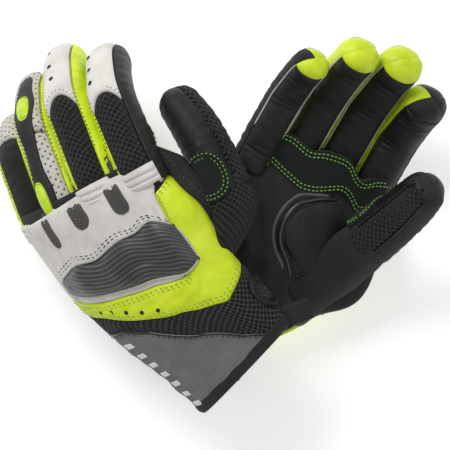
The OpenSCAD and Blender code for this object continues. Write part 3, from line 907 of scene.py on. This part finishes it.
# ---------------------------------------------------------------- hands
for g, G in enumerate(GLOVES):
    at = HAND[g]
    body = f"{G}_hand"

    def line_y(a):
        x = float(at(a, 80.0, 0.0)[0])
        return float(lk(x, KNUCKLE_LINE))

    def hand_skin(name, a0, a1, lo, hi, mat, na, ny, node=None, to=body, **kw):
        A, Q = strip_between(a0, a1, lo, hi, na, ny, kw.pop("ea", 0.35), kw.pop("ey", 0.35))
        settle(patch(f"{G}_{name}", at, A, Q, mat, **kw), to, node and f"{G}_{node}")

    def low_of(table, add=0.0):
        return lambda a: float(soft(a, table)) + add

    # an inner shell under the seams, so that no gap shows between panels
    hand_skin("inner_shell", -4, 196, low_of(SIDE_LOW, -2), 86, "lining", 60, 30, thick=0.2, puff=0, base=-2.3,
        bury=0.5)
    hand_skin("inner_palm", 176, 364, low_of(PALM_LOW, -2), 88, "lining", 60, 30, thick=0.2, puff=0, base=-2.3,
        bury=0.5)
    # white back panel
    hand_skin("back", 13, 146, low_of(SIDE_TOP), lambda a: line_y(a) - 2, "white", 90, 60, "back_panel", thick=1.1,
        puff=0.9, base=-0.8, extra=creases(30, 0.28, 1.0))
    hand_skin("back_corner", 146, 178, low_of(SIDE_TOP, 0.0), lambda a: line_y(a) - 1, "white", 30, 30, None,
        thick=1.1, puff=0.8, base=-0.8, extra=creases(20, 0.2, 2.0))
    # neon L panel
    hand_skin("side", -12, 172, low_of(SIDE_LOW), low_of(SIDE_TOP), "neon", 140, 44, "side_panel", thick=1.2,
        puff=0.9, base=-0.8, reach=8, extra=creases(24, 0.25, 0.4))
    rows = []
    for inset in (2.2, 4.2):
        a = np.linspace(14, 168, 220)
        rows.append(on(at, a, lk(a, SIDE_TOP) - inset, 1.15))
        rows.append(on(at, a, lk(a, SIDE_LOW) + inset, 1.15))
    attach(stitches(f"{G}_side_stitches", rows, "lime", 2.0, 1.0, 0.30), body)
    spots = [(133, 14.5 + 15), (123, 26.5), (113, 21.5), (104, 16), (95, 11)]
    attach(holes(f"{G}_side_holes", at, [(a, q - 4) for a, q in spots], 1.1, 1.35), body)
    # guard: foam bed, shell, pale piping and the stitches above it
    hand_skin("guard_bed", 47, 147, low_of(GUARD_LOW, -0.6), low_of(GUARD_TOP, 0.8), "foam", 60, 30, "guard_foam",
        thick=1.6, puff=0.2, base=0.0, bury=0.6, edge=0.8)

    def guard_form(A, Q, du, dv):
        lo, hi = lk(A, GUARD_LOW), lk(A, GUARD_TOP)
        t = (Q - lo) / np.maximum(hi - lo, 1)
        humps = hill(A, 66, 11) + 0.9 * hill(A, 92, 10) + 0.8 * hill(A, 116, 11)
        ridge = np.exp(-((t - 0.52 - 0.12 * np.sin(A * D * 3)) / 0.07) ** 2)
        return 2.6 * humps * np.sin(np.clip(t, 0, 1) * math.pi) ** 0.8 - 0.55 * ridge
    hand_skin("guard", 49, 145, low_of(GUARD_LOW, 0.8), low_of(GUARD_TOP, -0.8), "carbon", 110, 50, "knuckle_guard",
        thick=1.2, puff=1.2, base=1.5, bury=0.6, edge=1.0, reach=7, extra=guard_form)
    a = np.concatenate([np.linspace(48, 146, 140), np.full(20, 146), np.linspace(146, 48, 140), np.full(20, 48)])
    q = np.concatenate([soft(np.linspace(48, 146, 140), GUARD_TOP), np.linspace(49, 41, 20), soft(np.linspace(146,
        48, 140), GUARD_LOW), np.linspace(11, 38, 20)])
    for _ in range(6):
        a, q = (a + np.roll(a, 3) + np.roll(a, -3)) / 3, (q + np.roll(q, 3) + np.roll(q, -3)) / 3
    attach(tube(f"{G}_guard_piping", on(at, a, q, 1.5), 0.00085, "piping", 8, closed=True), body)
    rows = []
    for up in (1.9, 3.6):
        a = np.linspace(50, 146, 200)
        rows.append(on(at, a, soft(a, GUARD_TOP) + up, 1.05))
    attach(stitches(f"{G}_guard_stitches", rows, "dark", 2.2, 1.0, 0.34), body)
    # ribbed gussets that run from between the fingers into the back
    for k, (ac, y0, broad) in enumerate([(71, 61.5, 6.6), (94.5, 65.5, 4.6), (119, 63.5, 4.4)]):
        nv, nu = 120, 20
        y = np.linspace(y0, 84.5, nv)[:, None]
        half = (broad - 0.03 * (y - y0)) * np.sqrt(np.clip(1 - (1 - np.clip((y - y0 + 0.15) / 6, 0, 1)) ** 2, 0, 1))
        uu = 2 * spaced(nu, 0.4)[None, :] - 1
        def ribbing(A, Q, du, dv, ac=ac):
            waves = 0.32 * np.sin((Q - 0.55 * np.abs(A - ac)) * 2 * math.pi / 1.7)
            return waves - 0.9 * hill(A, ac, 1.4) * smooth((Q - 70) / 10)
        settle(patch(f"{G}_gusset_{FINGERS[k]}", at, ac + half * uu, y + 0 * uu, "ribs", thick=1.3, puff=0.4,
            base=0.5, bury=1.5, reach=4, lift=lambda A, Q: -4.5 * smooth((Q - 77) / 7.5), extra=ribbing), body)
    # leather web from the index finger's side down to the thumb
    def web_rise(A, Q, height=12.0):
        return height * smooth((Q - 14) / 26) * smooth((92 - Q) / 22)
    hand_skin("thumb_web", -44, -3, 8, 90, "black", 44, 66, thick=1.2, puff=1.6, base=-0.9, reach=12,
        extra=creases(19, 0.3, 2.2), lift=lambda A, Q: web_rise(A, Q) * hill(A, -16, 9.5))
    y = np.linspace(20, 84, 120)
    rows = [on(at, 0 * y - 6.5, y, 2.6 + web_rise(0, y, 3.0))]
    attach(stitches(f"{G}_web_stitches", rows, "dark", 1.9, 0.9, 0.3), body)
    # wrist mesh with its leather-bound opening
    hand_skin("wrist_mesh_back", -22, 172, low_of(MESH_LOW), low_of(SIDE_LOW), "wrist", 110, 40, "wrist_mesh",
        thick=0.9, puff=0.7, base=-0.9, reach=10, extra=creases(16, 0.45, 0.7))
    hand_skin("wrist_mesh_palm", 172, 338, low_of(MESH_LOW), low_of(PALM_LOW), "wrist" if g == 0 else "black", 80,
        40, None, thick=0.9, puff=0.7, base=-0.9, reach=10, extra=creases(11, 0.55, 0.2))
    # the opening at the thumb side of the wrist: a dark slot in a wide leather rim
    t = np.linspace(0, 2 * math.pi, 72, endpoint=False)

    def slot_line(scale):
        w = 1 + 0.25 * np.cos(t)
        return 4 + 21 * scale * w * np.sin(t), -28 + 8.6 * scale * np.cos(t) - 2.0 * np.sin(t)
    ka, kq = slot_line(1.0)
    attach(tube(f"{G}_wrist_rim", on(at, ka, kq, 0.9), 0.0019, "black", 12, closed=True, gap=0.0009), body)
    loops = [(1.02, 0.2), (0.9, 0.8), (0.72, 0.3), (0.6, -0.8), (0.4, -1.4), (0.2, -1.6)]
    verts = np.concatenate([on(at, slot_line(sc)[0], slot_line(sc)[1], off) for sc, off in loops])
    k = len(t)
    faces = bands(0, len(loops), k)
    faces.append(tuple((len(loops) - 1) * k + j for j in range(k)))
    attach(make(f"{G}_wrist_slot", verts, faces, "hole"), body)
    # cuff, its binding, lining and seams
    hand_skin("cuff_cloth", -122, 232, CUFF_END + 5.4, low_of(MESH_LOW), "twill", 190, 30, "cuff", thick=1.1,
        puff=0.9, base=-1.0, reach=9, seams=(0, 1, 1, 1), extra=creases(20, 0.4, 1.7))
    hand_skin("cuff_inside", -122, 232, CUFF_END + 1.5, -4, "lining", 120, 20, "cuff_lining", thick=0.1, puff=0,
        base=-2.6, bury=0.5)
    a = np.linspace(-122, 232, 300)
    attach(tube(f"{G}_cuff_edge", on(at, a, 0 * a + CUFF_END + 1.6, -0.9), 0.0019, "tape", 12, gap=0.0014), body)
    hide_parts(f"{G}_cuff_binding")
    rows = [on(at, a, 0 * a + CUFF_END + 4.6, 0.75)]
    b = np.linspace(-20, 228, 260)
    rows.append(on(at, b, lk(b, MESH_LOW) - 1.8, 0.75))
    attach(stitches(f"{G}_cuff_stitches", rows, "dark", 2.0, 1.0, 0.3), body)
    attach(tube(f"{G}_cuff_seam", on(at, b, lk(b, MESH_LOW) + 0.1, 0.05), 0.0008, "shine", 8), body)
    # wide binding tape round the open edge
    hand_skin("cuff_tape", -122, 232, CUFF_END + 1.2, CUFF_END + 6.4, "tape", 190, 12, None, thick=0.9, puff=0.3,
        base=0.35, bury=0.8, reach=3)
    # a plain printed row of equal, parallel bars along the little-finger side of the cuff
    for k, y in enumerate(range(4, -45, -8)):
        A, Q = strip_between(139, 151, y - 1.6, y + 1.6, 14, 12)
        Q = Q + (A - 145) * 0.10
        o = patch(f"{G}_cuff_bar_{k}", at, A, Q, "print", thick=0.3, puff=0.0, base=1.35, bury=0.5, edge=0.3)
        settle(o, body)
    # palm: leather, suede patch with two rows of green stitches, thenar seam
    hand_skin("palm", 170.5, 352, low_of(PALM_LOW), lambda a: line_y(a) - 3, "black", 110, 60, "palm_panel",
        thick=1.1, puff=1.2, base=-0.8, reach=12, extra=creases(26, 0.6, 0.5))
    PATCH_LOW = [[220, 82], [228, 80], [267, 70], [285, 80], [293, 78], [305, 72], [335, 82]]
    PATCH_TOP = [[220, 95], [250, 98], [264, 94], [270, 98.5], [281, 99.5], [289, 93], [298, 91], [305, 96], [320,
        99], [335, 98]]

    def rise(A, Q):
        return 5.0 * smooth((Q - 76) / 20)
    hand_skin("palm_suede", 220, 335, low_of(PATCH_LOW), low_of(PATCH_TOP), "suede", 100, 44, "palm_patch",
        thick=1.2, puff=0.5, base=0.6, bury=2.6, reach=8, extra=creases(15, 0.15, 2.0), lift=rise)
    rows = []
    for inn in (2.0, 4.2):
        a = np.linspace(222, 333, 240)
        y0, y1 = soft(a, PATCH_LOW) + inn, soft(a, PATCH_TOP) - inn
        rows.append(on(at, a, y0, 2.35 + rise(a, y0)))
        rows.append(on(at, a, y1, 2.35 + rise(a, y1)))
        for a_ in (220 + inn * 1.1, 335 - inn * 1.1):
            y = np.linspace(float(soft(a_, PATCH_LOW)) + 3, float(soft(a_, PATCH_TOP)) - 3, 40)
            rows.append(on(at, 0 * y + a_, y, 2.35 + rise(a_, y)))
    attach(stitches(f"{G}_palm_stitches", rows, "green", 1.7, 0.8, 0.36), body)
    # the thumb's muscle: a padded oval behind a curved piping
    arc_y = np.array([26, 33, 40, 48, 56, 63, 69, 73.5, 75.5])
    arc_a = np.array([283, 273, 266.5, 263.5, 264.5, 267, 271, 278, 287])
    yy = np.linspace(28, 74.5, 50)
    A = np.interp(yy, arc_y, arc_a)[:, None] + 2.5 + (316 - np.interp(yy, arc_y, arc_a)[:, None]) * spaced(40,
        0.4)[None, :]
    settle(patch(f"{G}_thenar_pad", at, A, yy[:, None] + 0 * A, "black", thick=1.2, puff=2.4, base=0.4, bury=1.2,
        reach=12, extra=creases(22, 0.25, 1.3)), body)
    fine = np.linspace(0, 1, 90)
    pa, py = np.interp(fine, np.linspace(0, 1, 9), arc_a), np.interp(fine, np.linspace(0, 1, 9), arc_y)
    pa, py = np.convolve(np.pad(pa, 6, "edge"), np.ones(13) / 13, "valid"), np.convolve(np.pad(py, 6, "edge"),
        np.ones(13) / 13, "valid")
    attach(tube(f"{G}_thenar_piping", on(at, pa, py, 1.9), 0.0013, "shine", 10), body)
    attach(tube(f"{G}_thenar_rib", on(at, pa - 4.5, py, 1.0), 0.0011, "ribs", 8), body)
    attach(stitches(f"{G}_thenar_stitch", [on(at, pa + 6, py, 2.7)], "dark", 1.7, 1.0, 0.3), body)
    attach(holes(f"{G}_palm_holes", at, [(244, 60), (256, 52)], 1.2, 1.2), body)

    # wrist strap with its pads: it folds open about its sewn edge
    sa, sb = 243.0, 306.0

    def strap_lo(a):
        return CUFF_END + 9 + 4 * max(0, (a - 250) / 56) ** 3

    def strap_hi(a):
        return -17 - 4 * max(0, (a - 250) / 56) ** 3
    hand_skin("strap_skin", sa, sb, strap_lo, strap_hi, "black", 50, 30, "wrist_strap", f"{G}_strap", ea=0.55,
        ey=0.55, thick=1.4, puff=0.5, base=2.4, bury=0.2, reach=6, extra=creases(12, 0.15))
    a = np.linspace(sa + 3, sb - 2, 100)
    rows = [on(at, a, [strap_lo(t) + 2.2 for t in a], 4.1), on(at, a, [strap_hi(t) - 2.2 for t in a], 4.1)]
    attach(stitches(f"{G}_strap_stitches", rows, "dark", 2.0, 1.0, 0.3), f"{G}_strap")
    hand_skin("hook_tape", 262, 296, CUFF_END + 13, -23, "pile", 24, 20, "hook_pad", f"{G}_strap", ea=0.55, ey=0.55,
        thick=0.5, puff=0.0, base=1.4, bury=0.2)
    hand_skin("loop_tape", 258, 300, CUFF_END + 11, -21, "pile", 24, 20, "loop_pad", ea=0.55, ey=0.55, thick=0.5,
        puff=0.0, base=0.4, bury=0.3)
    # pull tab: a loop of tape at the thumb side of the cuff's edge
    root = at(6.0, CUFF_END + 4, 1.0)
    turn = WRIST_BEND[g] + [-26, 74][g]
    ux = rz(turn) @ np.array([1.0, 0, 0])
    uy = rz(turn) @ np.array([0, 1.0, 0])
    t = np.linspace(0, 1, 26)
    loopx = 14.5 * np.sin(t * math.pi) ** 0.6
    loopz = 2.6 * np.cos(t * math.pi)
    verts, faces = [], []
    for side in (-5.5, 5.5):
        for lay in (0, 1.1):
            k = 1 - lay / 14
            for x, z in zip(loopx * k, loopz * k):
                verts.append(world(g, root + ux * (x - 0.5) + uy * side + np.array([0, 0, z])))
    m = len(t)
    for i in range(m - 1):
        o0, i0, o1, i1 = i, m + i, 2 * m + i, 3 * m + i
        faces += [(o0, o0 + 1, o1 + 1, o1), (i0, i1, i1 + 1, i0 + 1), (o0, i0, i0 + 1, o0 + 1), (o1, o1 + 1, i1 + 1,
            i1)]
    faces += [(0, 2 * m, 3 * m, m), (m - 1, 2 * m - 1, 4 * m - 1, 3 * m - 1)]
    uv = [(0.5 * i, 0) for i in range(m)] * 2 + [(0.5 * i, 11) for i in range(m)] * 2
    tab = make(f"{G}_pull_tab", verts, faces, "tape", uv)
    settle(tab, body)

    # ------------------------------------------------------------ thumb
    at = THUMB[g]
    base, tip = f"{G}_thumb_base", f"{G}_thumb_tip"
    root = patch(f"{G}_thumb_root", at, np.tile(np.arange(0, 360, 6), (34, 1)), np.linspace(-25.5, 12, 34)[:, None],
        "textile" if g else "mesh", thick=0.9, puff=0.3, ring=True, base=-0.9, seams=(0, 0, 0, 0), extra=creases(17,
        0.3, 1.0))
    bend_between(root, g, at, -BEND, BEND)
    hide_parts(f"{G}_thumb_gusset")
    end = at.total + 10.8 * 0.565
    folds = joint_folds([THUMB_PROX], 0.7)
    mesh_side, soft_side, hide_side, out_side = (((-8, 86), (88, 206), (208, 300), (302, 352)), ((236, 300), (150,
        234), (44, 148), (302, 402)))[g]
    for name, side, short, mat, node, puff, low, na in (("mesh", mesh_side, 2, "mesh", None, 0.9, -0.9, 32),
            ("leather", soft_side, 0.8, "black", f"{G}_thumb_base", 1.3, -1.0, 34), ("inner", hide_side, 0.8,
            "black", None, 1.0, -1.0, 34), ("outer", out_side, 0.8, "textile", None, 1.0, -1.0, 30)):
        A, Q = strip_between(*side, 6, end - short, na, 60, 0.4, 0.3)
        o = patch(f"{G}_thumb_{name}", at, A, Q, mat, thick=1.0, puff=puff, base=low, extra=folds, seams=(0, 0, 1,
            1))
        bend_between(o, g, at, THUMB_PROX - BEND, THUMB_PROX + BEND)
        if node:
            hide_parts(node)
    A, Q = np.tile(np.arange(0, 360, 6), (16, 1)), np.linspace(at.total - 2, end, 16)[:, None]
    cap = patch(f"{G}_thumb_end", at, A, Q, "black", thick=1.2, puff=0.2, base=-0.7, seams=(1, 0, 0, 0), ring=True)
    settle(cap, tip, f"{G}_thumb_tip")
    # suede oval at the base of the thumb, sewn with two rows of green stitches
    p0, p1 = ((97, 196), (140, 224))[g]
    q0, q1 = 2.5, 30.5
    v = spaced(40, 0.4)[:, None]
    Q = q0 + (q1 - q0) * v + np.zeros((1, 30))
    wide = (p1 - p0) / 2 * np.sqrt(np.clip(1 - np.abs(2 * v - 1) ** 2.6, 0.03, 1))
    A = (p0 + p1) / 2 + wide * (2 * spaced(30, 0.4)[None, :] - 1)
    tp = patch(f"{G}_thumb_suede", at, A, Q, "suede", thick=1.1, puff=0.8, base=0.9, bury=1.4, extra=creases(12,
        0.15))
    settle(tp, base, f"{G}_thumb_patch")
    rows = []
    for inn in (0.86, 0.70):
        t = np.linspace(0, 2 * math.pi, 200)
        c, sn = np.cos(t), np.sin(t)
        rows.append(on(at, (p0 + p1) / 2 + (p1 - p0) / 2 * inn * squared(c, 0.8),
            (q0 + q1) / 2 + (q1 - q0) / 2 * (inn + 0.03) * squared(sn, 0.8), 2.4))
    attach(stitches(f"{G}_thumb_stitches", rows, "green", 1.6, 0.8, 0.33), base)
    q = np.linspace(10, at.total - 6, 90)
    rows = [on(at, 0 * q + a_, q, 0.45) for a_ in (mesh_side[0] - 3, mesh_side[1] + 3.5)]
    st = stitches(f"{G}_thumb_seam", rows, "dark", 1.8, 0.9, 0.28)
    bend_between(st, g, at, THUMB_PROX - BEND, THUMB_PROX + BEND)

# ---------------------------------------------------------------- stage, light and camera
lo, hi = cad_box
floor_z = float(lo[2]) - 0.0003
bpy.ops.mesh.primitive_plane_add(size=6, location=(0, 0, floor_z))
floor = bpy.context.object
floor.name = "floor"
fm, _, fb = new_material("floor_white", (0.93, 0.93, 0.93), 0.9, spec=0.1)
fb.inputs["Emission Color"].default_value = (1, 1, 1, 1)
fb.inputs["Emission Strength"].default_value = 0.42
floor.data.materials.append(fm)

world_ = bpy.data.worlds.new("studio")
bpy.context.scene.world = world_
world_.use_nodes = True
world_.node_tree.nodes["Background"].inputs[0].default_value = (1, 1, 1, 1)
world_.node_tree.nodes["Background"].inputs[1].default_value = 0.40
bpy.context.scene.view_settings.view_transform = "Standard"


def lamp(name, place, size, power):
    data = bpy.data.lights.new(name, "AREA")
    data.size, data.energy = size, power
    o = bpy.data.objects.new(name, data)
    o.location = place
    o.rotation_mode = "QUATERNION"
    o.rotation_quaternion = (Vector((0, 0, 0.05)) - Vector(place)).to_track_quat("-Z", "Y")
    bpy.context.scene.collection.objects.link(o)


lamp("key", (-0.45, 0.75, 1.0), 0.55, 9.5)
lamp("fill", (0.8, -0.3, 0.9), 0.9, 2.2)

cam_data = bpy.data.cameras.new("camera")
cam = bpy.data.objects.new("camera", cam_data)
bpy.context.scene.collection.objects.link(cam)
cam_data.sensor_width, cam_data.lens = SENSOR, LENS
cam.location = (0.00215, 0.0017, VIEW_Z + VIEW_WIDTH / 2 / (SENSOR / 2 / LENS))
cam.rotation_euler = (0, 0, 0)
cam_data.clip_start, cam_data.clip_end = 0.05, 20
bpy.context.scene.camera = cam
